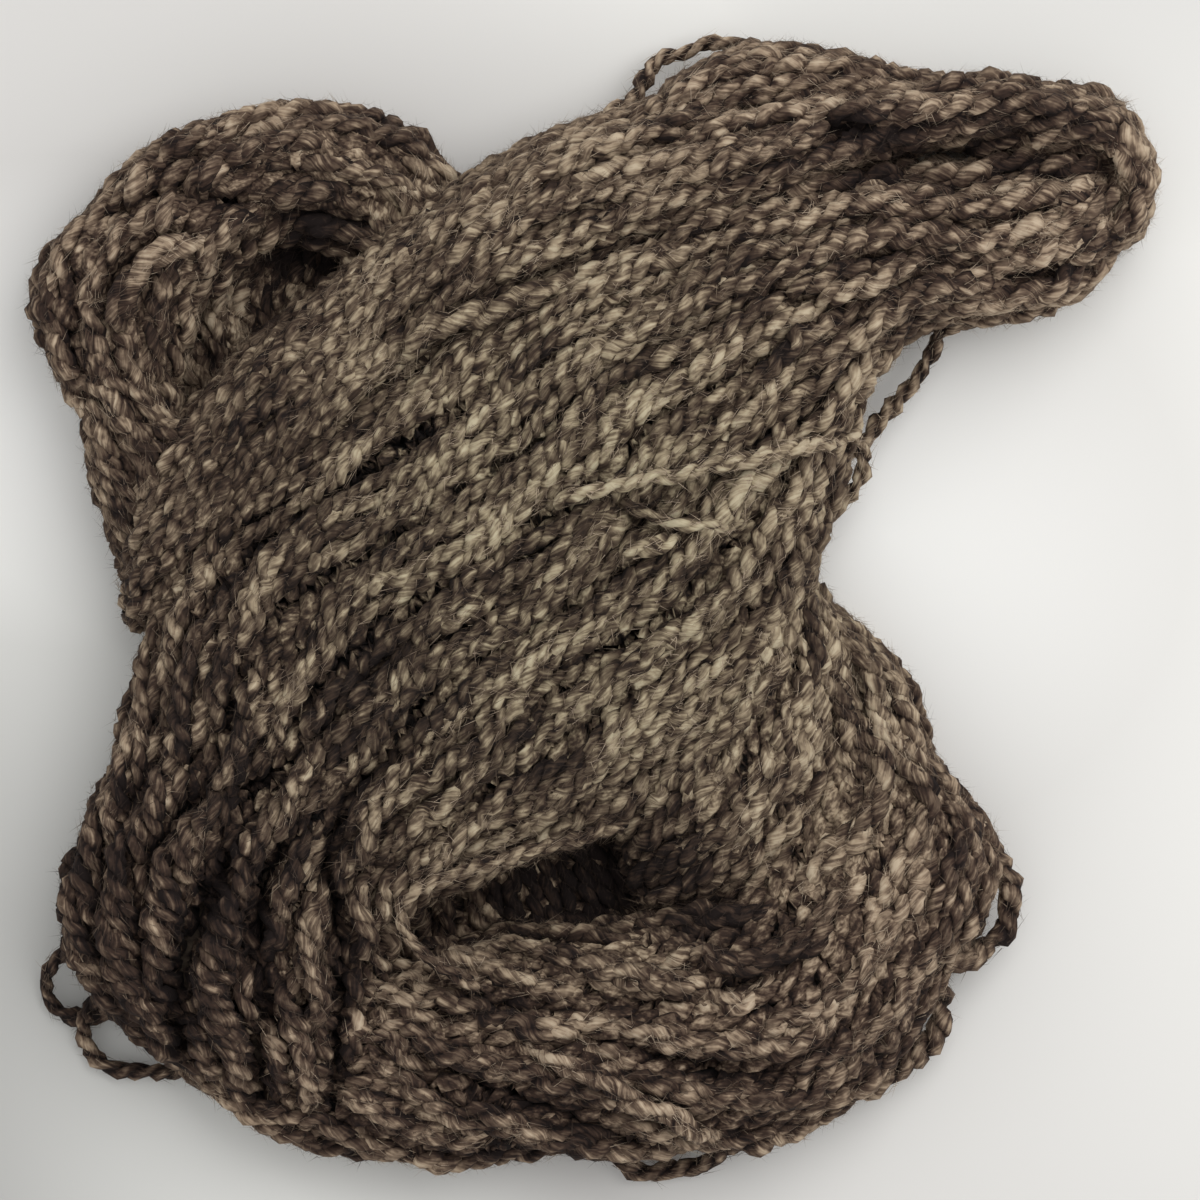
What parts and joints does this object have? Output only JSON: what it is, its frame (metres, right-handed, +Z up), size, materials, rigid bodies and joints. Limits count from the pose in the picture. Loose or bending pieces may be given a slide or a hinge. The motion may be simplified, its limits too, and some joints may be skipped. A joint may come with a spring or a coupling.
{
  "type": "wool yarn skein",
  "caption": "Loosely crossed skein of handspun two-ply wool yarn in heathered brown and grey, with ropes of strands, a hollow, a pocket and loose outer loops.",
  "frame": {"origin": "centre of the skein's outline, on the surface that it lies on", "axes": "+Z up from the surface, +X to the right and +Y to the top of the picture, which looks straight down"},
  "size_m": [0.2271, 0.2314, 0.0457],
  "materials": {
    "wool": "matte heathered wool, brown to beige, two plies twisted together, with a fine halo of fibres"
  },
  "bodies": {
    "root": {"skein": "wool"}
  },
  "joints": []
}
